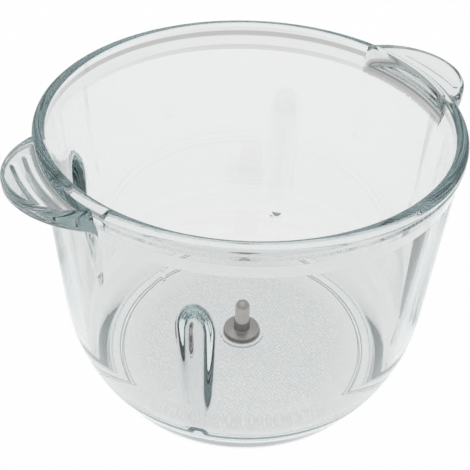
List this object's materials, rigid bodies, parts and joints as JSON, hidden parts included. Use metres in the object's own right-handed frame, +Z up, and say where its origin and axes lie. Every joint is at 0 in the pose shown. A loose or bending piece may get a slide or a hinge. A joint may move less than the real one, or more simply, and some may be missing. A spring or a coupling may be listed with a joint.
{
  "type": "food chopper bowl",
  "caption": "Clear glass chopper bowl with a round rim, side ears, inner ribs, a cove for the lid and a steel spindle pin standing on its floor.",
  "frame": {"origin": "centre of the plane the foot ring stands on, on the bowl's axis", "axes": "+Z up along the bowl's axis out of its mouth, X through both ears, Y across them"},
  "size_m": [0.202, 0.17, 0.126],
  "materials": {
    "clear_glass": "pressed and fire polished, with a fine stipple under the floor",
    "clear_adhesive": "clear cured adhesive",
    "steel": "turned stainless steel"
  },
  "bodies": {
    "root": {"glass_bowl": "clear_glass", "adhesive_bed": "clear_adhesive", "spindle_pin": "steel"}
  },
  "joints": []
}
